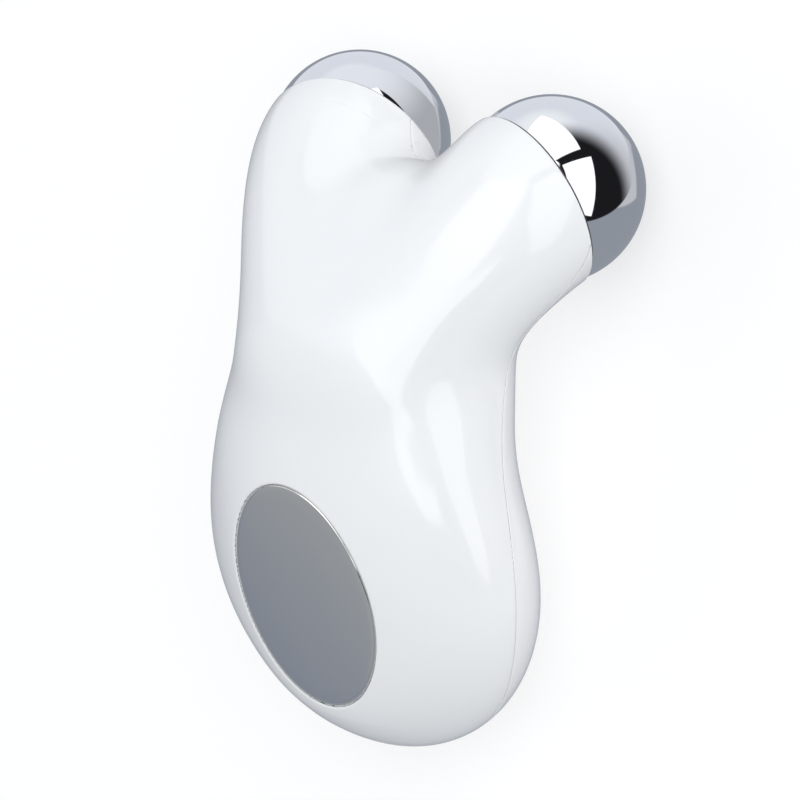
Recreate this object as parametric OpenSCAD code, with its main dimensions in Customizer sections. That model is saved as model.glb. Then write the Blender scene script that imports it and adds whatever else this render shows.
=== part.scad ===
// Facial toning device: a bent Y-shaped housing with two fixed ball electrodes
// and a large oval power button.
// It is drawn upright (x across, y to the rear, z up the trunk, with the drawing
// origin behind the shoulders) and laid on its back at the end: the two balls and
// the heel of the handle carry it, and +Y points toward the balls.

/* [Electrodes] */
// Diameter of each polished ball
ball_d = 29; // [22:0.5:36]
// Distance between the two ball centres
ball_spread = 38.9; // [34:0.1:50]
// Ball centre behind the drawing origin
ball_y = -15.5; // [-25:0.5:-5]
// Ball centre above the drawing origin
ball_z = 19.5; // [12:0.5:30]
// How far each ball centre stands outside its rim plane
ball_proud = 3.9; // [1:0.1:8]
// Wall of the hollow ball
ball_wall = 1.8; // [1.2:0.1:3]
// Depth of the ball's foot below the rim plane
foot_depth = 4.4; // [3:0.1:6]
// Diameter of the screw boss inside the ball
ball_boss_d = 8; // [6:0.5:12]
// Thickness of the flat seal under the ball's foot
seal_t = 0.6; // [0.4:0.1:1.2]
// Width of the seal's ring
seal_w = 1.4; // [1:0.1:2]
// Diameter of the round socket plate that carries the ball
socket_d = 22.8; // [20:0.2:26]
// Thickness of the socket plate
socket_t = 2.5; // [1.5:0.1:4]

/* [Arms] */
// Outer diameter of the arm at its rim
rim_d = 29.3; // [24:0.1:36]
// Sideways splay of each arm
arm_splay = 15.2; // [5:0.5:30]
// Backward lean of the arms from the trunk
arm_lean = 45.4; // [20:0.5:70]
// Diameter of the arm at its root
arm_root_d = 23.3; // [16:0.1:30]
// Distance from the rim to the arm's root
arm_l = 11.6; // [6:0.1:20]
// Blend between the two arms
fork_blend = 9.4; // [4:0.1:16]

/* [Housing] */
// Width of the bulb at the lower end
bulb_w = 62.4; // [50:0.2:80]
// Thickness of the bulb
bulb_t = 30.2; // [20:0.2:44]
// Length of the bulb along the handle
bulb_l = 66.2; // [50:0.2:90]
// Forward lean of the bulb's long axis
bulb_lean = 31; // [0:1:45]
// Bulb centre in front of the drawing origin
bulb_y = -8.4; // [-20:0.2:5]
// Bulb centre below the drawing origin
bulb_z = -43.2; // [-60:0.2:-30]
// Diameter of the shoulders
shoulder_d = 39; // [30:0.2:50]
// Shoulder centre in front of the drawing origin
shoulder_y = -21.6; // [-35:0.2:-10]
// Shoulder centre below the drawing origin
shoulder_z = -12.2; // [-25:0.2:0]
// Blend between the bulb, the trunk and the arms
trunk_blend = 26.6; // [10:0.2:36]
// Wall thickness of both shells
wall = 1.8; // [1.2:0.1:3]
// Radius of the parting line's long curve
part_r = 80.8; // [60:0.2:120]
// Parting line in the trunk, in front of the drawing origin
part_y = -18.5; // [-22:0.1:-15]

/* [Button] */
// Width of the oval button
button_w = 28.2; // [20:0.1:36]
// Length of the oval button
button_l = 40.3; // [30:0.1:50]
// Tilt of the button's face from the trunk's axis
button_tilt = 36.2; // [20:0.1:50]
// Button centre in front of the drawing origin
button_y = -21.8; // [-30:0.1:-15]
// Button centre below the drawing origin
button_z = -51.6; // [-60:0.1:-40]
// Height of the button's face above its reference plane
button_proud = 0.3; // [0:0.05:1]
// Thickness of the polished cap
cap_t = 1.7; // [1:0.1:3]
// Press travel
travel = 0.6; // [0.2:0.05:1.5]
// Gap all round the cap
cap_gap = 0.15; // [0.08:0.01:0.4]
// Depth of the guide skirt below the reference plane
skirt_depth = 6; // [4.5:0.1:8]
// Thickness of the guide skirt
skirt_t = 1.4; // [1:0.1:2.5]
// Width of the carrier's retaining flange outside the skirt's bore
flange_w = 0.9; // [0.5:0.1:1.3]

/* [Electronics] */
// Depth of the board's upper face below the button's reference plane
board_depth = 13; // [11:0.1:15]
// Thickness of the board
board_t = 1.2; // [0.8:0.1:2]
// Width of the board
board_w = 24; // [20:0.5:30]
// Upper end of the board, measured from the button's centre
board_top = 31; // [28:0.5:36]
// Depth of the charging receptacle's mouth below the skin
usb_sink = 1.04; // [0.2:0.02:2]
// Overhang of the receptacle's mouth past the board's lower end
usb_past = 4.2; // [3:0.1:5]
// Corner radius of the board
board_r = 6; // [3:0.5:9]
// Diameter of the board's screw bosses
boss_d = 4.6; // [4:0.1:6]
// Side of the square tact switch
switch_w = 6; // [4:0.5:12]
// Height of the tact switch's body
switch_h = 3.4; // [2:0.1:5]
// Diameter of the tact switch's stem
stem_d = 3.4; // [2:0.1:4.5]
// Width of the battery
cell_w = 25; // [15:0.5:34]
// Length of the battery
cell_l = 40; // [25:0.5:50]
// Thickness of the battery
cell_t = 8; // [4:0.5:12]
// Thickness of the adhesive foam under the battery
foam_t = 1; // [0.5:0.1:2]
// Diameter of the insulated leads
lead_d = 1.3; // [0.8:0.1:2]

/* [Hidden] */
$fn = 64;
clear = 0.03;              // radial clearance of pins and screws in their holes
ball_r = ball_d / 2;
axis = [sin(arm_splay), cos(arm_splay) * sin(arm_lean), cos(arm_splay) * cos(arm_lean)];
ball_c = [ball_spread / 2, ball_y, ball_z];
rim_c = ball_c - ball_proud * axis;
arm_c = rim_c - arm_l * axis;
bulb_c = [0, bulb_y, bulb_z];
shoulder_c = [0, shoulder_y, shoulder_z];
bulb_h = [bulb_w, bulb_t, bulb_l] / 2;
button_c = [0, button_y, button_z];
hole_a = button_w / 2 + cap_gap;       // half axes of the oval opening
hole_b = button_l / 2 + cap_gap;
screw_r = 1;               // board screws
electrode_screw_r = 1.2;
usb = [9, 7.3, 3.2];       // charging receptacle: width, length, height
usb_z = -board_depth - board_t / 2;
board_z = -board_depth;
face_n = [0, -cos(button_tilt), -sin(button_tilt)];     // square to the button's face
face_v = [0, -sin(button_tilt), cos(button_tilt)];      // up the face
shoulder_r = shoulder_d / 2;

// ---- form of the housing -------------------------------------------------
// The form is one smooth field: an ellipsoid bulb, a tapered trunk and two arms,
// rounded into each other. It is 0 on the outer skin and negative inside.

function round_min(a, b, k) = let (h = max(k - abs(a - b), 0) / k) min(a, b) - h * h * h * k / 6;

function bulb_field(p) =
    let (q = p - bulb_c, s = sin(-bulb_lean), c = cos(bulb_lean),
        v = [q.x, q.y * c - q.z * s, q.y * s + q.z * c],
        a = norm([v.x / bulb_h.x, v.y / bulb_h.y, v.z / bulb_h.z]),
        b = norm([v.x / pow(bulb_h.x, 2), v.y / pow(bulb_h.y, 2), v.z / pow(bulb_h.z, 2)]))
    b < 1e-6 ? -bulb_h.y : a * (a - 1) / b;

function limb_field(p, a, b, ra, rb) =
    let (pa = p - a, ba = b - a, h = min(max(pa * ba / (ba * ba), 0), 1))
    norm(pa - h * ba) - (ra + (rb - ra) * h);

function arm_field(p) = limb_field(p, arm_c, rim_c, arm_root_d / 2, rim_d / 2);

function skin(p) =
    let (q = [abs(p.x), p.y, p.z],
        trunk = round_min(bulb_field(q),
            limb_field(q, bulb_c, shoulder_c, 0.95 * bulb_h.y, shoulder_d / 2), trunk_blend),
        arms = round_min(arm_field(q), arm_field([-q.x, q.y, q.z]), fork_blend))
    round_min(trunk, arms, trunk_blend);

// Distance from o along u to the level d under the skin, by halving and one chord step.
function reach(o, u, d, lo = 0, hi = 48, n = 10) =
    n == 0
        ? let (fa = skin(o + lo * u) + d, fb = skin(o + hi * u) + d) lo - (hi - lo) * fa / (fb - fa)
        : let (mid = (lo + hi) / 2)
            skin(o + mid * u) + d < 0 ? reach(o, u, d, mid, hi, n - 1) : reach(o, u, d, lo, mid, n - 1);

// The receptacle's mouth and the board's lower end follow the skin of the handle's
// end; both are measured down the face from the button's centre.
usb_mouth = reach(button_c + usb_z * face_n, -face_v, 0) - usb_sink;
board_bottom = usb_mouth - usb_past;
boss_at = [for (y = [board_top - 4.5, 5.5 - board_bottom], x = [-3, 3]) [x * board_w / 8, y]];

// ---- cross-sections ------------------------------------------------------
// A section is [centre, sideways, rearward]. Trunk sections follow the parting
// line's long arc; fork sections turn step by step into the rim planes.

arc_c = [part_r + part_y, -6.3];      // centre of the long arc, in y and z
fork_z = -14;              // level where the sections start to turn
fork_turn = asin((fork_z - arc_c.y) / part_r);

function frame_of(c, splay, lean) =
    [c, [cos(splay), -sin(splay) * sin(lean), -sin(splay) * cos(lean)], [0, cos(lean), -sin(lean)]];

function trunk_section(turn) =
    frame_of([0, arc_c.x - part_r * cos(turn), arc_c.y + part_r * sin(turn)], 0, turn);

function fork_section(w) =
    let (a = trunk_section(fork_turn)[0])
    frame_of([rim_c.x * w * (1.45 - 0.45 * w), a.y + (rim_c.y - a.y) * w, a.z + (rim_c.z - a.z) * w],
        arm_splay * w, fork_turn + (arm_lean - fork_turn) * w);

// Where a section's line in the middle plane runs deepest: [distance, field].
function middle(s) = s[0] - s[1] * s[0].x / s[1].x;
function deepest(s) =
    let (o = middle(s), f = [for (i = [0:36]) skin(o + (i - 20) * s[2])], m = min(f),
        k = min(max(search(m, f)[0], 1), 35), e = f[k - 1] - 2 * f[k] + f[k + 1],
        step = abs(e) < 1e-6 ? 0 : (f[k - 1] - f[k + 1]) / (2 * e))
    [k - 20 + step, skin(o + (k - 20 + step) * s[2])];

// Fork position where the level d under the skin closes between the arms.
function crotch(d, lo = 0.3, hi = 1, n = 9) =
    n == 0 ? (lo + hi) / 2
        : let (mid = (lo + hi) / 2)
            deepest(fork_section(mid))[1] + d < 0 ? crotch(d, mid, hi, n - 1) : crotch(d, lo, mid, n - 1);

function bottom(d, lo = -75, hi = -20, n = 12) =
    n == 0 ? (lo + hi) / 2
        : let (mid = (lo + hi) / 2)
            skin(trunk_section(mid)[0]) + d > 0 ? bottom(d, mid, hi, n - 1) : bottom(d, lo, mid, n - 1);

function spoke(s, angle, d) =
    let (u = cos(angle) * s[1] + sin(angle) * s[2],
        far = u.x < -0.01 ? min(40, -s[0].x / u.x) : 40)     // stay on this side of the middle
    s[0] + reach(s[0], u, d, 0, far) * u;

// Right half of a section from the middle plane's front point round to its rear point.
function ends(s, d) =
    let (o = middle(s) + (s[0].x > 0 ? deepest(s)[0] : 0) * s[2])
    [o - reach(o, -s[2], d) * s[2], o + reach(o, s[2], d) * s[2]];
function bearing(s, p) = atan2((p - s[0]) * s[2], (p - s[0]) * s[1]);
function half_ring(s, d) =
    let (e = ends(s, d), b0 = bearing(s, e[0]), a0 = b0 > 0 ? b0 - 360 : b0,
        b1 = bearing(s, e[1]), a1 = b1 < 0 ? b1 + 360 : b1)
    [for (j = [0:half]) j == 0 ? e[0] : j == half ? e[1] : spoke(s, a0 + (a1 - a0) * j / half, d)];

function flip(p) = [-p.x, p.y, p.z];

// ---- skin at one level, as a closed solid --------------------------------
half = 20;                 // steps round half a section
n_trunk = 13;
n_fork = 6;
n_arm = 4;

// Full ring of 2*half points: front, right side, rear, left side.
function full_ring(h) = concat(h, [for (j = [half - 1:-1:1]) flip(h[j])]);

module form(d, past = 0) {
    turn0 = bottom(d);
    wc = crotch(d);
    sc = fork_section(wc);
    tip = middle(sc) + deepest(sc)[0] * sc[2];
    b = bearing(sc, tip);
    tip_a = b > 0 ? b - 360 : b;
    trunk = [for (i = [1:n_trunk])
        half_ring(trunk_section(turn0 + (fork_turn - turn0) * (1 - cos(90 * i / n_trunk))), d)];
    fork = [for (i = [1:n_fork - 1]) half_ring(fork_section(wc * (1 - pow(1 - i / n_fork, 1.3))), d)];
    tip_ring = [for (j = [0:half - 1]) j == 0 ? tip : spoke(sc, tip_a + 360 * j / half, d)];
    arm = [for (i = [1:n_arm]) let (s = fork_section(wc + (1 - wc) * i / n_arm))
        [for (j = [0:half - 1]) spoke(s, tip_a + 360 * j / half, d) + (i == n_arm ? past * axis : [0, 0, 0])]];
    rings = concat(trunk, fork);
    nr = len(rings);
    full = 2 * half;
    c0 = 1 + nr * full;                 // first point of the crotch ring
    r0 = c0 + full - 1;                 // first point of the right arm's rings
    l0 = r0 + n_arm * half;
    e0 = l0 + n_arm * half;             // two rim centres
    pts = concat([trunk_section(turn0)[0]], [for (r = rings) each full_ring(r)],
        tip_ring, [for (j = [half - 1:-1:1]) flip(tip_ring[j])],
        [for (r = arm) each r],
        [for (r = arm) each concat([flip(r[0])], [for (j = [half - 1:-1:1]) flip(r[j])])],
        [rim_c + past * axis, flip(rim_c + past * axis)]);
    function ring(i, k) = 1 + i * full + k % full;
    function crown(k) = let (m = k % full) m == 0 || m == half ? c0 : c0 + (m < half ? m : m - 1);
    function right(i, k) = i < 0 ? crown(k % half) : r0 + i * half + k % half;
    function left(i, k) = i < 0 ? crown(half + k % half) : l0 + i * half + k % half;
    function quad(a, b, c, e) = [[a, b, c], [a, c, e]];
    faces = concat(
        [for (k = [0:full - 1]) [0, ring(0, k + 1), ring(0, k)]],
        [for (i = [0:nr - 2], k = [0:full - 1])
            each quad(ring(i, k), ring(i, k + 1), ring(i + 1, k + 1), ring(i + 1, k))],
        [for (k = [0:full - 1])
            each quad(ring(nr - 1, k), ring(nr - 1, k + 1), crown(k + 1), crown(k))],
        [for (i = [-1:n_arm - 2], k = [0:half - 1])
            each quad(right(i, k), right(i, k + 1), right(i + 1, k + 1), right(i + 1, k))],
        [for (i = [-1:n_arm - 2], k = [0:half - 1])
            each quad(left(i, k), left(i, k + 1), left(i + 1, k + 1), left(i + 1, k))],
        [for (k = [0:half - 1]) [right(n_arm - 1, k), right(n_arm - 1, k + 1), e0]],
        [for (k = [0:half - 1]) [left(n_arm - 1, k), left(n_arm - 1, k + 1), e0 + 1]]);
    polyhedron(points = pts, faces = [for (f = faces) [f[2], f[1], f[0]]], convexity = 6);
}

// ---- placing -------------------------------------------------------------
// Resting tilt: the plane under both balls and the heel of the handle.
heel = [for (i = [3:n_trunk]) let (t0 = bottom(0),
    s = trunk_section(t0 + (fork_turn - t0) * (1 - cos(90 * i / n_trunk)))) ends(s, 0)[1]];
toe = [for (i = [1:5]) let (t0 = bottom(0),
    s = trunk_section(t0 + (fork_turn - t0) * (1 - cos(90 * i / n_trunk)))) each ends(s, 0)];
function drop(tilt) = max([for (p = heel) p.y * cos(tilt) + p.z * sin(tilt)]);
function ball_drop(tilt) = ball_c.y * cos(tilt) + ball_c.z * sin(tilt) + ball_r;
function settle(lo = -10, hi = 40, n = 24) =
    n == 0 ? (lo + hi) / 2
        : let (mid = (lo + hi) / 2)
            drop(mid) > ball_drop(mid) ? settle(mid, hi, n - 1) : settle(lo, mid, n - 1);
rest_tilt = settle();
rest_h = ball_drop(rest_tilt);
function along(p) = -p.y * sin(rest_tilt) + p.z * cos(rest_tilt);
head_end = along(ball_c) + ball_r;
toe_end = min([for (p = concat(toe, [trunk_section(bottom(0))[0]])) along(p)]);

module lay() translate([0, -(head_end + toe_end) / 2, rest_h]) rotate([-90 - rest_tilt, 0, 0]) children();

// Local frames: on the button's reference plane (z outward, y up the trunk), and
// at each rim (z outward along the arm).
module on_button() translate(button_c) rotate([90 + button_tilt, 0, 0]) children();
module on_rim(side) mirror([side < 0 ? 1 : 0, 0, 0]) translate(rim_c)
    rotate([-arm_lean, 0, 0]) rotate([0, arm_splay, 0]) children();

// ---- shared shapes -------------------------------------------------------
// Oval with slightly pointed tips.
module oval(a, b) polygon([for (t = [0:6:359])
    let (k = 1 - 0.004 * (1 - cos(4 * t))) [a * k * cos(t), b * k * sin(t)]]);

module plate(w, l, r, h) linear_extrude(h) hull() for (x = [-1, 1], y = [-1, 1])
    translate([x * (w / 2 - r), y * (l / 2 - r)]) circle(r, $fn = 32);

module lead(p, r) {
    for (i = [0:len(p) - 2]) let (v = p[i + 1] - p[i], h = norm(v))
        translate(p[i]) rotate([0, acos(v.z / h), atan2(v.y, v.x)]) cylinder(r = r, h = h);
    for (i = [1:len(p) - 2]) translate(p[i]) sphere(r * 1.12);
}

// Everything in front of the parting surface, moved rearward by s.
module fore(s = 0) {
    arc = [for (i = [0:10]) let (t = -62 + (fork_turn + 60.4) * i / 10)
        [arc_c.x - (part_r - 0.4) * cos(t) + s, arc_c.y + (part_r - 0.4) * sin(t)]];
    rise = [for (q = [[0.3, -4], [0.6, 2], [1.3, 7], [1.3, 10.5], [-1, 14.5], [-3.1, 18],
        [-2.5, 22.5], [-1.1, 27], [-0.5, 60]]) [q.x + part_y, q.y]];
    translate([-60, 0, 0]) rotate([90, 0, 90]) linear_extrude(120)
        polygon(concat(arc, [for (q = rise) [q.x + s, q.y]], [[-90, 60], [-90, -110], [arc[0].x, -110]]));
}

// Height of a board boss: it ends inside the wall, whatever the skin does there.
function boss_h(b) = min([for (t = [0:60:300])
    reach(button_c + (b.x + boss_d / 2 * cos(t)) * [1, 0, 0] + (b.y + boss_d / 2 * sin(t)) * face_v
        + board_z * face_n, face_n, wall * 0.35, 0, 20)]);

module skirt() on_button() translate([0, 0, -skirt_depth]) linear_extrude(skirt_depth + 4)
    oval(hole_a + skirt_t, hole_b + skirt_t);

module usb_slot() on_button() translate([0, -usb_mouth + 8, usb_z]) rotate([90, 0, 0])
    linear_extrude(30) hull() for (x = [-1, 1]) translate([x * (usb.x / 2 - usb.z / 2), 0])
        circle(usb.z / 2 + 0.15, $fn = 24);

// Round seat of the ball and its socket plate in the arm.
module arm_seats() for (side = [-1, 1]) on_rim(side) {
    translate([0, 0, ball_proud]) sphere(ball_r + cap_gap);
    translate([0, 0, -foot_depth - seal_t - socket_t]) cylinder(d = socket_d + 2 * clear, h = 5);
}

// ---- housing -------------------------------------------------------------
module front_shell() color("White") lay() difference() {
    union() {
        resize([0, 0, 0]) difference() {
            intersection() {
                form(0);
                union() {
                    difference() {
                        fore();
                        form(wall, 1);
                    }
                    skirt();
                }
            }
            on_button() translate([0, 0, -20]) linear_extrude(40) oval(hole_a, hole_b);
            usb_slot();
        }
        on_button() for (b = boss_at) translate([b.x, b.y, board_z]) cylinder(d = boss_d, h = boss_h(b));
    }
    arm_seats();
    on_button() for (b = boss_at) translate([b.x, b.y, board_z - 1]) cylinder(r = screw_r, h = 6.5);
}

module rear_shell() color("WhiteSmoke") lay() difference() {
    resize([0, 0, 0]) difference() {
        form(0);
        fore();
        form(wall, 1);
        usb_slot();
    }
    arm_seats();
}

// ---- electrodes ----------------------------------------------------------
module ball(side) color("Silver") lay() on_rim(side) difference() {
    union() {
        difference() {
            translate([0, 0, ball_proud]) sphere(ball_r);
            translate([0, 0, ball_proud]) sphere(ball_r - ball_wall);
        }
        intersection() {
            translate([0, 0, ball_proud]) sphere(ball_r - ball_wall / 2);
            translate([0, 0, -foot_depth]) cylinder(d = ball_boss_d, h = 40);
        }
    }
    translate([0, 0, -foot_depth - 40]) cylinder(r = 30, h = 40);
    translate([0, 0, -foot_depth - 1]) cylinder(r = electrode_screw_r + clear, h = 11);
}
module left_ball() ball(-1);
module right_ball() ball(1);

module socket(side) color("LightGray") lay() on_rim(side) difference() {
    union() {
        translate([0, 0, -foot_depth - seal_t - socket_t]) cylinder(d = socket_d, h = socket_t);
        translate([0, 0, -foot_depth - seal_t - 1]) cylinder(d = ball_boss_d, h = seal_t + 1);
    }
    translate([0, 0, -20]) cylinder(r = electrode_screw_r + clear, h = 30);
}
module left_socket() socket(-1);
module right_socket() socket(1);

module seal(side) color("DimGray") lay() on_rim(side)
    translate([0, 0, -foot_depth - seal_t]) difference() {
        cylinder(d = socket_d - 0.4, h = seal_t);
        translate([0, 0, -1]) cylinder(d = socket_d - 0.4 - 2 * seal_w, h = 3);
    }
module left_seal() seal(-1);
module right_seal() seal(1);

socket_back = -foot_depth - seal_t - socket_t;

module terminal(side) color("Goldenrod") lay() on_rim(side) translate([0, 0, socket_back - 0.4])
    difference() {
        union() {
            cylinder(r = 3, h = 0.4);
            translate([-1, -6.5, 0]) cube([2, 5, 0.4]);
        }
        translate([0, 0, -1]) cylinder(r = electrode_screw_r + clear, h = 3);
    }
module left_terminal() terminal(-1);
module right_terminal() terminal(1);

module electrode_screws() color("LightSlateGray") lay() for (side = [-1, 1]) on_rim(side)
    translate([0, 0, socket_back - 0.4]) difference() {
        union() {
            translate([0, 0, -1.5]) cylinder(r = 2.3, h = 1.5);
            translate([0, 0, -0.5]) cylinder(r = electrode_screw_r, h = 13);
        }
        translate([0, 0, -2.5]) cylinder(r = 1, h = 2, $fn = 6);
    }

// From the board's upper edge, up the trunk and under the tail of the terminal.
module lead_run(side) color(side < 0 ? "RoyalBlue" : "Crimson") lay() {
    start = button_c + side * [5, 0, 0] + (board_top + 0.6) * face_v + usb_z * face_n;
    stop = rim_c - 5.5 * [0, cos(arm_lean), -sin(arm_lean)] + (socket_back - 0.45 - lead_d / 2) * axis;
    low = shoulder_c + shoulder_r * [side / 3, -0.43, 0.165];
    high = shoulder_c + shoulder_r * [side * 0.64, -0.43, 0.78];
    lead([start, low, high, [side * stop.x, stop.y, stop.z]], lead_d / 2);
}
module left_lead() lead_run(-1);
module right_lead() lead_run(1);

// ---- button --------------------------------------------------------------
module button_cap() color("Silver") lay() on_button() {
    translate([0, 0, button_proud - cap_t]) linear_extrude(cap_t - 0.4) oval(button_w / 2, button_l / 2);
    translate([0, 0, button_proud - 0.4]) linear_extrude(0.4) oval(button_w / 2 - 0.35, button_l / 2 - 0.35);
}

carrier_top = button_proud - cap_t;
stem_top = board_z + switch_h + 1.6;

module button_carrier() color("Gainsboro") lay() on_button() difference() {
    union() {
        translate([0, 0, -skirt_depth - 1.1]) linear_extrude(skirt_depth + 1.1 + carrier_top)
            oval(button_w / 2 - 0.2, button_l / 2 - 0.2);
        translate([0, 0, -skirt_depth - 1.1]) linear_extrude(1)
            oval(hole_a + flange_w, hole_b + flange_w);
    }
    difference() {
        translate([0, 0, -skirt_depth - 2]) linear_extrude(skirt_depth + 2 + carrier_top - 1.4)
            oval(button_w / 2 - 1.6, button_l / 2 - 1.6);
        translate([0, 0, stem_top]) cylinder(d = 5, h = 20);
    }
}

module switch_stem() color("DimGray") lay() on_button()
    translate([0, 0, board_z + 1.4]) cylinder(d = stem_d, h = stem_top - board_z - 1.4);

// ---- electronics ---------------------------------------------------------
module switch_body() color("Black") lay() on_button() difference() {
    translate([-switch_w / 2, -switch_w / 2, board_z]) cube([switch_w, switch_w, switch_h]);
    translate([0, 0, board_z + 0.7]) cylinder(r = stem_d / 2 + clear, h = 10);
}

module main_board() color("ForestGreen") lay() on_button() difference() {
    translate([0, (board_top - board_bottom) / 2, board_z - board_t])
        plate(board_w, board_top + board_bottom, board_r, board_t);
    translate([-usb.x / 2 - 0.1, -board_bottom - 1, board_z - board_t - 1])
        cube([usb.x + 0.2, board_bottom + 1 - usb_mouth + usb.y + 0.1, board_t + 2]);
    for (b = boss_at) translate([b.x, b.y, board_z - 5]) cylinder(r = screw_r + clear, h = 10);
}

module board_screws() color("LightSlateGray") lay() on_button() for (b = boss_at)
    translate([b.x, b.y, board_z - board_t]) difference() {
        union() {
            translate([0, 0, -1.2]) cylinder(r = 1.9, h = 1.2);
            translate([0, 0, -0.5]) cylinder(r = screw_r - clear, h = 6);
        }
        translate([0, 0, -2]) cylinder(r = 0.8, h = 1.5, $fn = 6);
    }

chip = [7, 7, 1];
module control_chip() color("DarkSlateGray") lay() on_button()
    translate([-chip.x / 2, board_top / 2 - chip.y / 2, board_z]) cube(chip);

coil_d = 8;
module boost_coil() color("SaddleBrown") lay() on_button() translate([0, -coil_d * 1.5, board_z]) {
    cylinder(d = coil_d, h = coil_d / 8);
    cylinder(d = coil_d * 0.56, h = coil_d / 2);
    translate([0, 0, coil_d * 3 / 8]) cylinder(d = coil_d, h = coil_d / 8);
}

cap_case = [2.5, 8, 1.6];
module capacitors() color("Tan") lay() on_button() for (x = [-1, 1])
    translate([x * board_w / 3 - cap_case.x / 2, -cap_case.y / 2, board_z]) cube(cap_case);

module charge_socket() color("DarkGray") lay() on_button()
    translate([0, -usb_mouth + usb.y, usb_z]) rotate([90, 0, 0]) difference() {
        linear_extrude(usb.y) hull() for (x = [-1, 1]) translate([x * (usb.x - usb.z) / 2, 0])
            circle(usb.z / 2, $fn = 32);
        translate([0, 0, 1]) linear_extrude(usb.y) difference() {
            hull() for (x = [-1, 1]) translate([x * (usb.x - usb.z) / 2, 0]) circle(usb.z / 2 - 0.3, $fn = 32);
            square([6.6, 0.7], center = true);
        }
    }

cell_y = cell_l / 10;
foam = [0.72 * cell_w, 0.65 * cell_l, foam_t];
module battery_foam() color("Ivory") lay() on_button()
    translate([-foam.x / 2, cell_y - foam.y / 2, board_z - board_t - foam_t]) cube(foam);

module battery_cell() color("SteelBlue") lay() on_button()
    translate([0, cell_y, board_z - board_t - foam_t - cell_t]) plate(cell_w, cell_l, 2, cell_t);

module battery_plug() color("Ivory") lay() on_button()
    translate([-4, cell_y + cell_l / 2 + 2.4, board_z - board_t - 4]) cube([8, 3.6, 4]);

module battery_leads() color("Crimson") lay() on_button() for (x = [-1.5, 1.5])
    translate([x, cell_y + cell_l / 2, board_z - board_t - foam_t - cell_t / 2])
        rotate([-90, 0, 0]) cylinder(d = 1.1, h = 2);

front_shell();
rear_shell();
left_ball();
right_ball();
left_socket();
right_socket();
left_seal();
right_seal();
left_terminal();
right_terminal();
electrode_screws();
left_lead();
right_lead();
button_cap();
button_carrier();
switch_stem();
switch_body();
main_board();
board_screws();
control_chip();
boost_coil();
capacitors();
charge_socket();
battery_cell();
battery_foam();
battery_plug();
battery_leads();
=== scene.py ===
# Facial toning device: a bent Y-shaped glossy housing with two polished ball
# electrodes and a large oval press button. Metres, +Z up, lying on its back.
import math

import bpy
import numpy as np
from mathutils import Matrix, Vector


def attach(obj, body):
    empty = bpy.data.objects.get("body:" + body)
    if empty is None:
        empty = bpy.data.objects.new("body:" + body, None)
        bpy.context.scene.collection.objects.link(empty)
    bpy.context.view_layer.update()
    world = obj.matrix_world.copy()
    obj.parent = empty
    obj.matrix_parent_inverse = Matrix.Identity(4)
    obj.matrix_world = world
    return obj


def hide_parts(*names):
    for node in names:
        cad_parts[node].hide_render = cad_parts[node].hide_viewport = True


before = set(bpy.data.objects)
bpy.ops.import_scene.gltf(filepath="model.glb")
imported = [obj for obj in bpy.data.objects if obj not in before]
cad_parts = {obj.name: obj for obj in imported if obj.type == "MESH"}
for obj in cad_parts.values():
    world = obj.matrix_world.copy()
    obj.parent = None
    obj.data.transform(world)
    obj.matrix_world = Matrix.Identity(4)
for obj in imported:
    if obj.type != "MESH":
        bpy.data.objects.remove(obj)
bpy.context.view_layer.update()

# ---- Camera ------------------------------------------------------------------
# A long lens from the front right, rolled to one side. The device is described as it
# stands, in millimetres: x across, y to the rear, z up the trunk. `lay` turns that
# onto its back, resting on both balls and the heel, in metres.
REST_TILT = math.radians(11.4589)
MIDDLE, LIFT = -17.8467, 3.18292


def lay(p):
    p = np.asarray(p, float)
    s, c = math.sin(REST_TILT), math.cos(REST_TILT)
    y, z = p[..., 1], p[..., 2]
    return np.stack([p[..., 0], -y * s + z * c - MIDDLE, LIFT - y * c - z * s], -1) / 1000


def lay_direction(v):
    return (lay(v) - lay([0, 0, 0])) * 1000


def add_object(name, data):
    """A new object in the scene."""
    thing = bpy.data.objects.new(name, data)
    bpy.context.scene.collection.objects.link(thing)
    return thing


TURN, ROLL = math.radians(36.67), math.radians(15.81)
AIM_RIGHT, AIM_UP, AIM_SCALE = 76.5, 99.45, 3500
EYE_DISTANCE = 560.57
back = np.array([math.sin(TURN), -math.cos(TURN), 0])
across = np.array([math.cos(TURN), math.sin(TURN), 0])
right = across * math.cos(ROLL) + np.array([0, 0, math.sin(ROLL)])
upward = -across * math.sin(ROLL) + np.array([0, 0, math.cos(ROLL)])
ahead = -back - right * AIM_RIGHT / AIM_SCALE - upward * AIM_UP / AIM_SCALE
ahead /= np.linalg.norm(ahead)
upward -= ahead * (upward @ ahead)
upward /= np.linalg.norm(upward)
right = np.cross(ahead, upward)
lens = bpy.data.cameras.new("camera")
lens.lens, lens.sensor_width = 157.5, 36
lens.clip_start, lens.clip_end = 0.05, 20
camera = add_object("camera", lens)
axes = [lay_direction(a) for a in (right, upward, -ahead)]
camera.matrix_world = Matrix.Translation(Vector(lay(back * EYE_DISTANCE))) @ Matrix(
    [[axes[j][i] for j in range(3)] for i in range(3)]).to_4x4()
bpy.context.scene.camera = camera

# ---- Studio ------------------------------------------------------------------
# A pale table under three soft boxes, which light only the matt part of a finish. What
# the gloss and the plating mirror is a grey room painted on the world, with a pale
# screen, a black curtain and three windows. The table is kept out of the mirrors.
TABLE_HALF = 4


def mesh_of(name, points, faces, edges=()):
    mesh = bpy.data.meshes.new(name)
    mesh.from_pydata(points, edges, faces)
    return mesh


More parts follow.
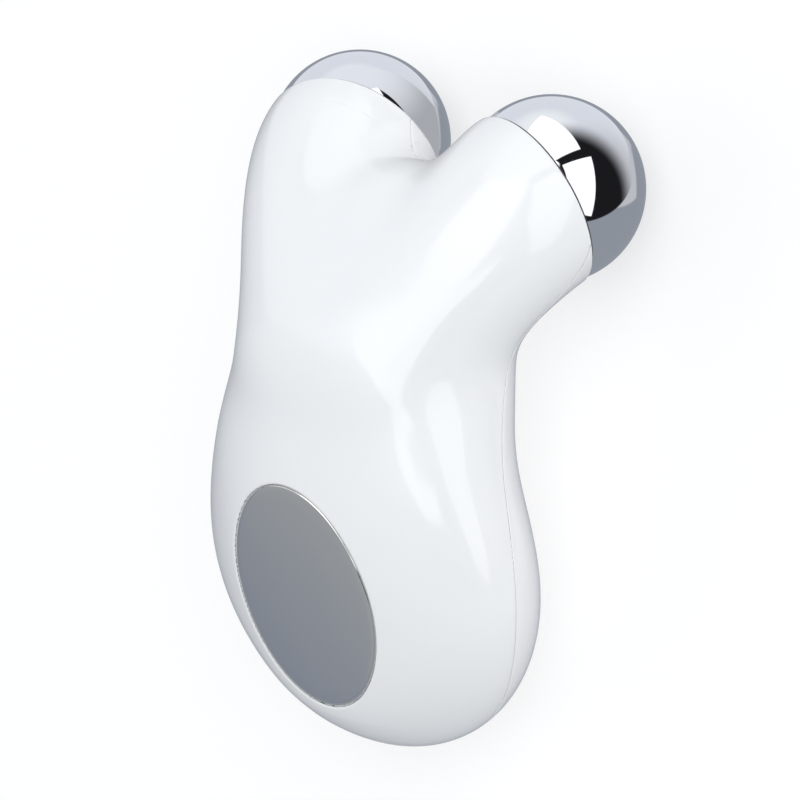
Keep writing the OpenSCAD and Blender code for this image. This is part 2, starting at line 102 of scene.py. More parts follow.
corners = [(x * TABLE_HALF, y * TABLE_HALF, 0) for x, y in ((-1, -1), (1, -1), (1, 1), (-1, 1))]
table = add_object("table", mesh_of("table", corners, [(0, 1, 2, 3)]))
table_paint = bpy.data.materials.new("table_paint")
table_paint.use_nodes = True
paint = table_paint.node_tree.nodes["Principled BSDF"]
for socket, value in (("Base Color", (0.4, 0.4, 0.4, 1)), ("Roughness", 0.8),
                      ("Emission Color", (1, 1, 1, 1)), ("Emission Strength", 0.6)):
    paint.inputs[socket].default_value = value
table.data.materials.append(table_paint)
table.visible_glossy = False


def toward(azimuth, elevation):
    """The direction at an azimuth and an elevation, in degrees."""
    a, e = math.radians(azimuth), math.radians(elevation)
    return Vector((math.cos(e) * math.cos(a), math.cos(e) * math.sin(a), math.sin(e)))


def put(tree, kind, inputs=(), **settings):
    """Adds a node to a tree. Each input takes a value, or is joined to another's output."""
    node = tree.nodes.new(kind)
    for name, value in settings.items():
        setattr(node, name, value)
    for key, value in dict(inputs).items():
        if isinstance(value, bpy.types.NodeSocket):
            tree.links.new(value, node.inputs[key])
        else:
            node.inputs[key].default_value = value
    return node


room = bpy.data.worlds.new("room")
bpy.context.scene.world = room
room.use_nodes = True
tree = room.node_tree
fill = tree.nodes["Background"]
fill.inputs["Color"].default_value = (0.965, 0.99, 1.03, 1)
fill.inputs["Strength"].default_value = 0.41
direction = put(tree, "ShaderNodeTexCoord").outputs["Generated"]


def zone(below, colour, *edges):
    """Lays a patch of colour over the mirrored room. Each edge is (vector, low, high):
    the patch fades in as the direction's product with the vector goes from low to high."""
    share = 1
    for vector, low, high in edges:
        dot = put(tree, "ShaderNodeVectorMath", {0: direction, 1: Vector(vector).normalized()},
                  operation="DOT_PRODUCT")
        fade = put(tree, "ShaderNodeMapRange", {"Value": dot.outputs["Value"], "From Min": low,
                                                "From Max": high}, interpolation_type="SMOOTHSTEP")
        share = put(tree, "ShaderNodeMath", {0: share, 1: fade.outputs["Result"]},
                    operation="MULTIPLY").outputs[0]
    below = (*below, 1) if isinstance(below, tuple) else below
    return put(tree, "ShaderNodeMix", {"Factor": share, 6: below, 7: (*colour, 1)},
               data_type="RGBA").outputs[2]


# The walls come first, then the screen's foot, its face and its bright top, then the
# curtain. Two windows stand behind the balls, and the overhead one has two panes.
SCREEN_SIDE = (toward(80, 0), 0.0, 0.04)
UPPER_WALL, MIDDLE_WALL = (0.235, 0.26, 0.33), (0.345, 0.365, 0.40)
LOWER_WALL, CURTAIN = (0.30, 0.325, 0.37), (0.012, 0.012, 0.014)
SCREEN_FOOT, SCREEN_FACE, SCREEN_TOP = (0.56, 0.575, 0.61), (0.76, 0.79, 0.86), (0.93, 0.97, 1.0)
WINDOW, SKYLIGHT = (1.25, 1.27, 1.3), (1.9, 1.93, 1.97)
layer = zone(UPPER_WALL, MIDDLE_WALL, ((0, 0, 1), 0.24, 0.36))
layer = zone(layer, LOWER_WALL, ((0, 0, -1), -0.22, -0.12))
layer = zone(layer, SCREEN_FOOT, SCREEN_SIDE, ((1, 0, -0.2), 0, 0.05), ((0, 0, 1), -0.97, -0.945))
layer = zone(layer, SCREEN_FACE, SCREEN_SIDE, ((0.05, 0.93, 0.36), 0.0, 0.03),
             (toward(165, 0), -0.4, 0.3))
layer = zone(layer, SCREEN_TOP, SCREEN_SIDE, (toward(104, 10), 0.8, 0.99))
layer = zone(layer, CURTAIN, ((0.2555, 0.551, 0.2166), 0, 0.03),
             ((0.782, -0.122, 0.611), -0.3, 0.22), ((0, 0, -1), -0.75, -0.6))
layer = zone(layer, WINDOW, (toward(72, 0), 0, 0.01), (toward(-43, 0), 0, 0.01),
             ((-0.17, 0, 1), -0.2, -0.19), ((0, 0, -1), -0.55, -0.54),
             ((0.155, 0.2745, -0.316), 0, 0.03))
layer = zone(layer, WINDOW, (toward(147, 0), 0, 0.01), (toward(25, 0), 0, 0.01),
             ((-0.151, 0.037, 0.988), 0, 0.01), ((0, 0, -1), -0.66, -0.65))
layer = zone(layer, SKYLIGHT, ((0.75, 1, -0.25), -0.01, 0.03), ((1, 0, 0.3), 0, 0.05),
             ((-1, 0, 0.98), 0, 0.08), ((0, 1, 0.3), 0, 0.02), ((0, -1, 1.15), 0, 0.03))
layer = zone(layer, SKYLIGHT, ((0.75, 1, -0.2), -0.01, 0.03), ((-1, 0, 1.6), 0, 0.03),
             ((0, 1, 0.55), 0, 0.02), ((0, -1, -0.16), 0, 0.1))
mirrored = put(tree, "ShaderNodeBackground", {"Color": layer})
seen_by = put(tree, "ShaderNodeLightPath")
both = put(tree, "ShaderNodeMixShader", {"Fac": seen_by.outputs["Is Glossy Ray"],
                                         1: fill.outputs["Background"],
                                         2: mirrored.outputs["Background"]})
tree.links.new(both.outputs["Shader"], tree.nodes["World Output"].inputs["Surface"])
bpy.context.scene.view_settings.view_transform = "Standard"

# A small bent card beside the left ball keeps the windows out of it. Only reflections
# see it. Its low edge rises toward one end, and a notch in its top lets a patch of the
# curtain through. Its glow fades toward the low edge.
CARD_C, CARD_R, CARD_STEPS, CARD_UP = lay([-19.45, -15.5, 19.5]), 0.021, 25, toward(88, 25)
card_azimuths, card_points = range(-30, 113, 2), []
for azimuth in card_azimuths:
    low_edge = max(-34, (azimuth - 76) / 1.05)
    top_edge = 20 - (60 - azimuth) * 0.48 if 30 < azimuth < 63 else 46
    card_points += [(CARD_C + CARD_R * np.array(toward(azimuth, elevation))).tolist()
                    for elevation in np.linspace(low_edge, top_edge, CARD_STEPS)]
card_faces = [(k, k + CARD_STEPS, k + CARD_STEPS + 1, k + 1)
              for i in range(len(card_azimuths) - 1)
              for k in range(i * CARD_STEPS, (i + 1) * CARD_STEPS - 1)]
card = add_object("card", mesh_of("card", card_points, card_faces))
card_glow = bpy.data.materials.new("card_glow")
card_glow.use_nodes = True
tree = card_glow.node_tree
tree.nodes.remove(tree.nodes["Principled BSDF"])
where = put(tree, "ShaderNodeTexCoord")
height = put(tree, "ShaderNodeVectorMath", {0: where.outputs["Object"], 1: CARD_UP},
             operation="DOT_PRODUCT")
centre_height = float(CARD_C @ np.array(CARD_UP))
fade = put(tree, "ShaderNodeMapRange", {
    "Value": height.outputs["Value"], "From Min": centre_height + 0.35 * CARD_R,
    "From Max": centre_height + CARD_R, "To Min": 0.45, "To Max": 0.88},
    interpolation_type="SMOOTHSTEP")
glow = put(tree, "ShaderNodeEmission", {"Color": (0.965, 1.0, 1.06, 1),
                                        "Strength": fade.outputs["Result"]})
tree.links.new(glow.outputs["Emission"], tree.nodes["Material Output"].inputs["Surface"])
card.data.materials.append(card_glow)
card.visible_camera = card.visible_diffuse = False
card.visible_shadow = card.visible_transmission = False


def soft_box(name, azimuth, elevation, distance, width, height, glow, tint=(1, 1, 1)):
    """A lamp that looks at the device and is itself seen by nothing."""
    lamp = bpy.data.lights.new(name, "AREA")
    lamp.shape, lamp.size, lamp.size_y = "RECTANGLE", width, height
    lamp.energy, lamp.color = glow * math.pi * width * height, tint
    box = add_object(name, lamp)
    box.location = toward(azimuth, elevation) * distance
    box.rotation_mode = "QUATERNION"
    box.rotation_quaternion = (-box.location).to_track_quat("-Z", "Y")
    box.visible_camera = box.visible_glossy = False


COOL = (0.985, 0.997, 1.0)
# Each box: azimuth, elevation and distance, then width, height and glow.
soft_box("ceiling_box", 31.6, 55, 1.2, 1.5, 1.2, 1.98, COOL)
soft_box("left_box", 200, 35, 1.3, 1.2, 1.2, 1.08, COOL)
soft_box("head_box", 80, 18, 1.3, 1.0, 0.9, 0.3)

# ---- Front shell -------------------------------------------------------------
# The front half of the housing, moulded in glossy white plastic, 1.6 mm thick. Its form
# is one field that is 0 on the skin: an ellipsoid bulb, a trunk, a saddle and two
# curved tapering arms, rounded together, with a flattened heel.
BALL_R, BALL_PROUD = 14.5, 3.9
SPLAY, LEAN = math.radians(15.2), math.radians(45.4)
AXIS = np.array([math.sin(SPLAY), math.cos(SPLAY) * math.sin(LEAN),
                 math.cos(SPLAY) * math.cos(LEAN)])
BALL_C = np.array([19.45, -15.5, 19.5])
RIM_C, RIM_R = BALL_C - BALL_PROUD * AXIS, 14.65
# Each ellipsoid: centre, half sizes, lean.
BULB = np.array([0, -7.95, -43.22]), np.array([30.42, 18.40, 33.44]), -0.598
TRUNK = np.array([0, -18.95, -16.91]), np.array([22.18, 13.53, 19.41]), 0.279
SADDLE = np.array([0, -24.0, 4.0]), np.array([9.0, 11.0, 12.6]), -0.15
ARM_BEND = RIM_C - 7.83 * AXIS + np.array([1.35, 0, 0])
ARM_END = np.array([5.90, -27.42, -12.00])
ARM_MID_R, ARM_END_R = 13.86, 12.69
TRUNK_BLEND, FORK_BLEND, SADDLE_BLEND, ARM_BLEND, HEEL_BLEND = 22.4, 17.8, 10.0, 12.0, 10
HEEL, WALL = 1.51, 1.6
# The plane of the oval face: its centre, tilt, outward normal and upward direction.
BUTTON_C, BUTTON_TILT = np.array([0, -21.8, -51.6]), math.radians(36.2)
FACE_N = np.array([0, -math.cos(BUTTON_TILT), -math.sin(BUTTON_TILT)])
FACE_V = np.array([0, -math.sin(BUTTON_TILT), math.cos(BUTTON_TILT)])


def on_face(p):
    """Places on the oval face's plane: across it, up it and out of it."""
    q = p - BUTTON_C
    return q[:, 0], q @ FACE_V, q @ FACE_N


def round_min(a, b, k):
    """The smaller of two fields, rounded where they meet."""
    h = np.maximum(k - np.abs(a - b), 0) / k
    return np.minimum(a, b) - h ** 3 * k / 6


def egg_field(p, centre, half, lean):
    """Near distance to an ellipsoid."""
    q = p - centre
    s, c = math.sin(lean), math.cos(lean)
    v = np.stack([q[:, 0], q[:, 1] * c - q[:, 2] * s, q[:, 1] * s + q[:, 2] * c], 1)
    a, b = np.linalg.norm(v / half, axis=1), np.linalg.norm(v / half ** 2, axis=1) + 1e-9
    return a * (a - 1) / b


ARM_STEPS = 12


def arm_field(q):
    """Distance to an arm: a circle that runs along one curve and changes its radius.
    The nearest place is picked from a few steps, then mended by two Newton steps."""
    def along(t):
        t = np.asarray(t)[..., None]
        centre = RIM_C * (1 - t) ** 2 + ARM_BEND * 2 * t * (1 - t) + ARM_END * t ** 2
        radius = RIM_R * (1 - t) ** 2 + 2 * ARM_MID_R * t * (1 - t) + ARM_END_R * t ** 2
        return centre, radius[..., 0]

    steps = np.linspace(0, 1, ARM_STEPS + 1)
    centre, radius = along(steps)
    apart = (q * q).sum(1)[:, None] - 2 * q @ centre.T + (centre * centre).sum(1)
    gap = np.sqrt(np.maximum(apart, 0)) - radius
    i, j = np.clip(gap.argmin(1), 1, ARM_STEPS - 1), np.arange(len(q))
    a, b, c = gap[j, i - 1], gap[j, i], gap[j, i + 1]
    t = steps[i] + np.clip((a - c) / np.maximum(2 * (a - 2 * b + c), 1e-6), -1, 1) / ARM_STEPS
    t = np.clip(t, 0, 1)
    bend = ARM_END - 2 * ARM_BEND + RIM_C
    for _ in range(2):
        centre, radius = along(t)
        run = 2 * (1 - t)[:, None] * (ARM_BEND - RIM_C) + 2 * t[:, None] * (ARM_END - ARM_BEND)
        v = q - centre
        far = np.linalg.norm(v, axis=1) + 1e-9
        slope = -(v * run).sum(1) / far
        slope = slope - 2 * (1 - t) * (ARM_MID_R - RIM_R) - 2 * t * (ARM_END_R - ARM_MID_R)
        curve = ((run * run).sum(1) - ((v * run).sum(1) / far) ** 2 - 2 * v @ bend) / far
        curve -= 2 * (ARM_END_R - 2 * ARM_MID_R + RIM_R)
        t = np.clip(t - slope / np.maximum(curve, 0.01), 0, 1)
    centre, radius = along(t)
    return np.linalg.norm(q - centre, axis=1) - radius


# The easing: a polynomial up the oval, the oval it starts from, its reach and its fade.
EASE, EASE_A, EASE_B = [0.505, 0.061, -1.442, 0.201, 0.639, 0.190], 14.4, 20.45
EASE_MEAN_R, EASE_REACH, EASE_DEPTH, EASE_FADE = 17, 6.5, 14, 10


def near_oval(p):
    """How far the skin is eased out round the oval, so that the oval's edge is one plane."""
    x, v, z = on_face(p)
    away = np.maximum(np.hypot(x / EASE_A, v / EASE_B) - 1, 0) * EASE_MEAN_R
    near = np.exp(-(away / EASE_REACH) ** 2) * np.clip((z + EASE_DEPTH) / EASE_FADE, 0, 1) ** 2
    return near * np.polyval(EASE, np.clip(v / EASE_B, -1.1, 1.1))


def right_side(p):
    """The same points, with those on the left mirrored to the right."""
    return np.concatenate([np.abs(p[:, :1]), p[:, 1:]], 1)


def skin_field(p):
    """The housing's field: 0 on the skin, and below 0 inside."""
    q = right_side(p)
    trunk = round_min(egg_field(q, *BULB), egg_field(q, *TRUNK), TRUNK_BLEND)
    arms = round_min(arm_field(q), arm_field(q * [-1, 1, 1]), FORK_BLEND)
    arms = round_min(arms, egg_field(q, *SADDLE), SADDLE_BLEND)
    under = p[:, 1] * math.cos(REST_TILT) + p[:, 2] * math.sin(REST_TILT) - LIFT - HEEL
    return -round_min(near_oval(p) - round_min(trunk, arms, ARM_BLEND), -under, HEEL_BLEND)


def reach(o, u, far, halvings=34):
    """Distance from o along u to the skin, at most far."""
    lo, hi = np.zeros(len(o)), np.broadcast_to(np.asarray(far, float), (len(o),)).copy()
    for _ in range(halvings):
        mid = (lo + hi) / 2
        inside = skin_field(o + mid[:, None] * u) < 0
        lo, hi = np.where(inside, mid, lo), np.where(inside, hi, mid)
    return (lo + hi) / 2


# Cross-sections follow the parting line's long arc, then turn into the rim planes.
ARC_Y, ARC_Z, ARC_R, FORK_Z, FORK_SWELL = 62.3, -6.3, 80.8, -14, 0.45
FORK_TURN = math.asin((FORK_Z - ARC_Z) / ARC_R)


def section(centre, splay, lean):
    """A cutting plane: its centre, its sideways direction and its rearward direction."""
    sideways = np.array([math.cos(splay), -math.sin(splay) * math.sin(lean),
                         -math.sin(splay) * math.cos(lean)])
    return np.array(centre, float), sideways, np.array([0, math.cos(lean), -math.sin(lean)])


def trunk_section(t):
    """The section across the trunk at an angle along the arc."""
    return section((0, ARC_Y - ARC_R * math.cos(t), ARC_Z + ARC_R * math.sin(t)), 0, t)


def fork_section(w):
    """The section at a share of the way from the trunk's last one to the right rim."""
    a = trunk_section(FORK_TURN)[0]
    centre = (RIM_C[0] * w * (1 + FORK_SWELL - FORK_SWELL * w),
              a[1] + (RIM_C[1] - a[1]) * w, a[2] + (RIM_C[2] - a[2]) * w)
    return section(centre, SPLAY * w, FORK_TURN + (LEAN - FORK_TURN) * w)


def middle(s):
    """Where a section's sideways line meets the plane of symmetry."""
    return s[0] - s[1] * s[0][0] / s[1][0]


def deepest(s):
    """The deepest place on the plane of symmetry, sought every 0.05 mm, and its depth."""
    r = np.linspace(-20, 16, 721)
    f = skin_field(middle(s) + r[:, None] * s[2])
    return r[f.argmin()], f.min()


def halve(test, lo, hi, halvings=30):
    """The value at which a test stops holding."""
    for _ in range(halvings):
        mid = (lo + hi) / 2
        lo, hi = (mid, hi) if test(mid) else (lo, mid)
    return (lo + hi) / 2


# Points round half a section, the counts of sections, and how far the skin is sought.
HALF, N_TRUNK, N_FORK, N_ARM, SIDE_REACH, MIDDLE_REACH = 96, 110, 64, 16, 40, 48
# The share at which the fork opens, and the angle at which the arc leaves the body.
crotch = halve(lambda w: deepest(fork_section(w))[1] < 0, 0.3, 1)
toe = halve(lambda t: skin_field(trunk_section(t)[0][None])[0] > 0,
            math.radians(-75), math.radians(-20))


def spokes(s, angles):
    """Skin points at the given angles round a section's centre, stopped at the middle plane."""
    u = np.cos(angles)[:, None] * s[1] + np.sin(angles)[:, None] * s[2]
    o = np.broadcast_to(s[0], u.shape)
    to_middle = -s[0][0] / np.minimum(u[:, 0], -1e-6)
    far = np.where(u[:, 0] < -0.01, np.minimum(SIDE_REACH, to_middle), SIDE_REACH)
    return o + reach(o, u, far)[:, None] * u


def bearing(s, p):
    """The angle of a point round a section's centre."""
    return math.atan2((p - s[0]) @ s[2], (p - s[0]) @ s[1])


def half_ring(s):
    """The right half of a section's outline, from the front middle round to the rear middle."""
    o = middle(s) + (deepest(s)[0] if s[0][0] > 0 else 0) * s[2]
    front, rear = (o + reach(o[None], k * s[2][None], MIDDLE_REACH)[0] * k * s[2] for k in (-1, 1))
    a, b = bearing(s, front), bearing(s, rear)
    a, b = (a - 2 * math.pi if a > 0 else a), (b + 2 * math.pi if b < 0 else b)
    ring = spokes(s, np.linspace(a, b, HALF + 1))
    ring[0], ring[-1] = front, rear
    return ring


# The sections crowd together toward the toe and toward the crotch between the arms.
MIRROR = np.array([-1, 1, 1])
trunk_shares = [1 - math.cos(math.pi / 2 * i / N_TRUNK) for i in range(1, N_TRUNK + 1)]
fork_shares = [1 - (1 - i / N_FORK) ** 1.3 for i in range(1, N_FORK)]
halves = [half_ring(trunk_section(toe + (FORK_TURN - toe) * share)) for share in trunk_shares]
halves += [half_ring(fork_section(crotch * share)) for share in fork_shares]
s = fork_section(crotch)
tip = middle(s) + deepest(s)[0] * s[2]
start = bearing(s, tip)
start = start - 2 * math.pi if start > 0 else start
round_angles = start + 2 * math.pi * np.arange(HALF) / HALF
crown = spokes(s, round_angles)
crown[0] = tip
arm_rings = [spokes(fork_section(crotch + (1 - crotch) * i / N_ARM), round_angles)
             for i in range(1, N_ARM + 1)]
# The rim rolls over a small radius to its lip. A fine bead stands on the lip against the
# ball, painted dark as shade for the gap, and inside it the wall follows the ball's seat.
outward = arm_rings.pop() - RIM_C
radius = np.linalg.norm(outward, axis=1)
outward /= radius[:, None]
# Steps inward from the arm's last section, each with its depth under the rim's plane.
RIM_ROLL = ((0.02, 0.22), (0.06, 0.11), (0.13, 0.045), (0.22, 0.0))
# The bead's steps. Its faces carry the painted shade of the gap at the ball.
SHADE_BEAD = ((0.26, -0.02), (0.29, -0.18), (0.36, -0.3), (0.46, -0.3))
SEAT_GAP, SEAT_DEPTHS = 0.17, (0.0, 0.08, 0.6, 1.6, 3.2)
for step, sink in RIM_ROLL + SHADE_BEAD:
    arm_rings.append(RIM_C + outward * (radius - step)[:, None] - sink * AXIS)
for sink in SEAT_DEPTHS:
    seat = math.sqrt((BALL_R + SEAT_GAP) ** 2 - (BALL_PROUD + sink) ** 2)
    arm_rings.append(RIM_C + outward * seat - sink * AXIS)

# All points in one list: the toe, the full rings, the crown, the right arm, the left arm.
points = [trunk_section(toe)[0][None]]
for h in halves:
    points.append(np.concatenate([h, h[1:-1][::-1] * MIRROR]))
points += [crown, crown[1:][::-1] * MIRROR] + arm_rings
points += [np.concatenate([r[:1], r[1:][::-1]]) * MIRROR for r in arm_rings]
points = np.concatenate(points)
FULL = 2 * HALF
crown_start = 1 + len(halves) * FULL
right_start = crown_start + FULL - 1
left_start = right_start + len(arm_rings) * HALF
rings = [1 + i * FULL + np.arange(FULL) for i in range(len(halves))]
top = crown_start + np.concatenate([np.arange(HALF), [0], np.arange(HALF, FULL - 1)])
right_arm, left_arm = (
    [at_top] + [first + i * HALF + np.arange(HALF) for i in range(len(arm_rings))]
    for at_top, first in ((top[:HALF], right_start), (top[HALF:], left_start)))
triangles = [np.stack([np.zeros(FULL, int), np.roll(rings[0], -1), rings[0]], 1)]
for a, b in (*zip(rings[:-1], rings[1:]), (rings[-1], top), *zip(right_arm[:-1], right_arm[1:]),
             *zip(left_arm[:-1], left_arm[1:])):
    a2, b2 = np.roll(a, -1), np.roll(b, -1)
    triangles += [np.stack([a, a2, b2], 1), np.stack([a, b2, b], 1)]
triangles = np.concatenate(triangles)
triangles = triangles[(triangles != np.roll(triangles, 1, axis=1)).all(1)]


def slice_along(points, triangles, value):
    """Adds points where value crosses zero, and splits the triangles there."""
    value = np.where(np.abs(value) < 1e-6, 1e-6, value)
    side = value > 0
    cut = side[triangles].any(1) & ~side[triangles].all(1)
    whole, mixed = triangles[~cut], triangles[cut]
    edges = np.sort(np.concatenate([mixed[:, [0, 1]], mixed[:, [1, 2]], mixed[:, [2, 0]]]), 1)
    edges = np.unique(edges[side[edges[:, 0]] != side[edges[:, 1]]], axis=0)
    a, b = value[edges[:, 0]], value[edges[:, 1]]
    t = np.clip(a / (a - b), 0.02, 0.98)[:, None]
    new = {tuple(e): len(points) + i for i, e in enumerate(edges.tolist())}
    points = np.concatenate([points, points[edges[:, 0]] * (1 - t) + points[edges[:, 1]] * t])
    out = []
    for tri in mixed.tolist():
        k = [side[i] for i in tri]
        odd = k.index(True) if sum(k) == 1 else k.index(False)
        p, q, r = tri[odd], tri[(odd + 1) % 3], tri[(odd + 2) % 3]
        m, n = new[(min(p, q), max(p, q))], new[(min(p, r), max(p, r))]
        out += [(p, m, n), (m, q, r), (m, r, n)]
    return points, np.concatenate([whole, np.array(out, int).reshape(-1, 3)])


# The parting line in side view, as (height, depth): the trunk's arc, then the arms.
# Rearward of it lies the rear shell.
arc = np.linspace(math.radians(-66), FORK_TURN - math.radians(1), 60)
part_line = np.array([(ARC_Z + ARC_R * math.sin(t), ARC_Y - ARC_R * math.cos(t)) for t in arc]
                     + [(-4, -18.2), (2, -18.1), (7, -18.2), (10.5, -18.6), (14.5, -20.6),
                        (18, -22.4), (22.5, -21.8), (27, -20.4), (60, -19.8)])
fine = np.linspace(part_line[0, 0], 40, 400)
smooth = np.interp(fine, part_line[:, 0], part_line[:, 1])
SMOOTHINGS = 60
for _ in range(SMOOTHINGS):
    smooth[1:-1] = (smooth[:-2] + smooth[1:-1] * 2 + smooth[2:]) / 4


def parting(p):
    """Distance behind the parting surface."""
    slope = np.interp(p[:, 2], fine, np.gradient(smooth, fine))
    return (p[:, 1] - np.interp(p[:, 2], fine, smooth)) / np.sqrt(1 + slope ** 2)


def oval_radius(t, a, b):
    """From the centre to the oval's edge in direction t. The tips are a little pointed."""
    k = 1 - 0.004 * (1 - np.cos(4 * t))
    return k / np.sqrt((np.cos(t) / a) ** 2 + (np.sin(t) / b) ** 2)


# Half sizes of the opening and of the slot, and the levels past which a rule ends.
OPENING_A, OPENING_B, OPENING_BACK = 14.25, 20.3, -11
PORT_HALF, PORT_Z, PORT_R, PORT_TOP, FAR_OFF = 2.9, -13.6, 1.78, -26, 50


def opening(p):
    """Distance outside the oval opening."""
    x, y, z = on_face(p)
    t = np.arctan2(y, x)
    d = np.hypot(x, y) - oval_radius(t, OPENING_A, OPENING_B)
    return np.where(z > OPENING_BACK, d, FAR_OFF)


def port(p):
    """Distance outside the charging slot in the handle's end."""
    x, y, z = on_face(p)
    d = np.hypot(np.maximum(np.abs(x) - PORT_HALF, 0), z - PORT_Z) - PORT_R
    return np.where(y < PORT_TOP, d, FAR_OFF)


# The skin is cut along each edge, and along lines beside it that carry its rounding.
OPENING_LINES, PORT_LINES = (0.0, 0.06, 0.16, 0.3, 0.5, 0.9), (0.0, 0.12, 0.3)
PARTING_LINES = (-0.3, -0.16, -0.08, -0.035, 0.0, 0.035, 0.08, 0.16, 0.3)
for rule, levels in ((opening, OPENING_LINES), (port, PORT_LINES), (parting, PARTING_LINES)):
    for level in levels:
        points, triangles = slice_along(points, triangles, rule(points) - level)
mid = points[triangles].mean(1)
keep = (opening(mid) > 0) & (port(mid) > 0)
triangles = triangles[keep]


def edge_drop(d, r):
    """How far the surface falls at distance d from an edge rounded with radius r."""
    x = np.clip(r - d, 0, r)
    return r - np.sqrt(r * r - x * x)


# Edge roundings, and how far the painted shade of the joints and of the rim's bead spreads.
LIP_ROUND, PORT_ROUND, SEAM_ROUND, SEAM_SPREAD, SEAM_SINK = 0.5, 0.3, 0.26, 0.94, 0.9
DARK_AT_SEAM, DARK_AT_OPENING, BEAD_WIDTH, BEAD_FROM = 0.027, 0.045, 0.25, -2
NORMAL_STEP, RIM_FROM = 0.02, -0.3


def shell_mesh(name, triangles, wall):
    """A closed shell from a piece of the skin: outer face, inner face and the edge between."""
    used, triangles = np.unique(triangles, return_inverse=True)
    triangles = triangles.reshape(-1, 3)
    p = points[used]
    g = np.stack([skin_field(p + e) - skin_field(p - e) for e in np.eye(3) * NORMAL_STEP], 1)
    g /= np.linalg.norm(g, axis=1)[:, None]
    drop = np.maximum(edge_drop(opening(p), LIP_ROUND), edge_drop(port(p), PORT_ROUND))
    drop = np.maximum(drop, edge_drop(np.abs(parting(p)) * SEAM_SPREAD, SEAM_ROUND) * SEAM_SINK)
    rim = (right_side(p) - RIM_C) @ AXIS > RIM_FROM
    outer = p - g * np.where(rim, 0, drop)[:, None]
    edges = np.concatenate([triangles[:, [0, 1]], triangles[:, [1, 2]], triangles[:, [2, 0]]])
    key = edges[:, 0] * len(p) + edges[:, 1]
    back_key = edges[:, 1] * len(p) + edges[:, 0]
    border = edges[~np.isin(key, back_key)]
    n = len(p)
    inner = p - g * wall
    strip = np.concatenate([np.stack([border[:, 1], border[:, 0], border[:, 0] + n], 1),
                            np.stack([border[:, 1], border[:, 0] + n, border[:, 1] + n], 1)])
    faces = np.concatenate([triangles, triangles[:, ::-1] + n, strip])
    both = np.concatenate([outer, inner])
    mesh = mesh_of(name, lay(both).tolist(), faces.tolist())
    # The dark second material is painted shade: on the bead at the lips, and in the depths of the
    # fine joints where shade falls.
    q = both[faces].mean(1)
    shaded_joints = (np.abs(parting(q)) < DARK_AT_SEAM) | (np.abs(opening(q)) < DARK_AT_OPENING)
    q = right_side(q) - RIM_C
    height = q @ AXIS
    from_axis = np.linalg.norm(q - height[:, None] * AXIS, axis=1)
    shaded_bead = (height > BEAD_FROM) & (from_axis < RIM_R - BEAD_WIDTH)
    mesh.polygons.foreach_set("material_index", (shaded_bead | shaded_joints).astype(np.int32))
    return mesh


SHARP_ANGLE = math.radians(50)


def add_piece(name, mesh, body, material):
    """A finished object from a mesh, riding on a body."""
    mesh.update()
    mesh.validate()
    mesh.polygons.foreach_set("use_smooth", [True] * len(mesh.polygons))
    mesh.set_sharp_from_angle(angle=SHARP_ANGLE)
    if mesh.materials:
        mesh.materials.clear()
    mesh.materials.append(material)
    piece = add_object(name, mesh)
    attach(piece, body)
    return piece


def finish_of(name, colour, rough, metallic=0.0):
    """A new material and its Principled shader."""
    material = bpy.data.materials.new(name)
    material.use_nodes = True
    shader = material.node_tree.nodes["Principled BSDF"]
    shader.inputs["Base Color"].default_value = (*colour, 1)
    shader.inputs["Roughness"].default_value = rough
    shader.inputs["Metallic"].default_value = metallic
    return material, shader


def texture_on(shader, kind, inputs, **settings):
    """A texture on object coordinates, in the shader's tree."""
    tree = shader.id_data
    where = put(tree, "ShaderNodeTexCoord")
    inputs = {"Vector": where.outputs["Object"], **inputs}
    return put(tree, "ShaderNodeTex" + kind, inputs, **settings)


def vary(shader, socket, low, high, scale, detail=3.0):
    """Lets a socket wander between two values with a soft noise."""
    tree = shader.id_data
    noise = texture_on(shader, "Noise", {"Scale": scale, "Detail": detail}).outputs["Fac"]
    if isinstance(low, tuple):
        ramp = put(tree, "ShaderNodeValToRGB", {"Fac": noise})
        for stop, position, colour in zip(ramp.color_ramp.elements, (0.3, 0.7), (low, high)):
            stop.position, stop.color = position, (*colour, 1)
        tree.links.new(ramp.outputs["Color"], shader.inputs[socket])
    else:
        spread = put(tree, "ShaderNodeMapRange", {"Value": noise, "From Min": 0.3, "From Max": 0.7,
                                                  "To Min": low, "To Max": high})
        tree.links.new(spread.outputs["Result"], shader.inputs[socket])


def relief(shader, height, depth, strength):
    """A bump on the shader, from another node's height."""
    bump = put(shader.id_data, "ShaderNodeBump", {"Height": height, "Distance": depth,
                                                  "Strength": strength})
    shader.id_data.links.new(bump.outputs["Normal"], shader.inputs["Normal"])


def grain(shader, scale, depth, strength):
    """A fine moulded texture, as a bump."""
    relief(shader, texture_on(shader, "Noise", {"Scale": scale}).outputs["Fac"], depth, strength)


def moulded_gloss(name, colour, low, high):
    """Plastic from a polished mould: a soft body under a clear gloss."""
    material, shader = finish_of(name, colour, 0.2)
    vary(shader, "Base Color", low, high, 30)
    vary(shader, "Roughness", 0.16, 0.24, 45)
    shader.inputs["Specular IOR Level"].default_value = 0.35
    shader.inputs["Coat Weight"].default_value = 0.75
    shader.inputs["Coat Roughness"].default_value = 0.035
    grain(shader, 260, 0.00004, 0.15)
    return material


white_gloss = moulded_gloss("white_gloss", (0.86, 0.87, 0.88), (0.85, 0.862, 0.875),
                            (0.87, 0.88, 0.89))
front = parting(points[triangles].mean(1)) < 0
front_shell = add_piece("front_shell_skin", shell_mesh("front_shell_skin", triangles[front], WALL),
                        "housing", white_gloss)
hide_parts("front_shell")
# Painted shade: a near-black paint for the lips' bead and the fine joints, where the gaps would
# fall dark.
gap_shade, shader = finish_of("gap_shade", (0.05, 0.048, 0.046), 0.5)
vary(shader, "Base Color", (0.04, 0.038, 0.036), (0.075, 0.07, 0.066), 700)
vary(shader, "Roughness", 0.4, 0.6, 500)
front_shell.data.materials.append(gap_shade)

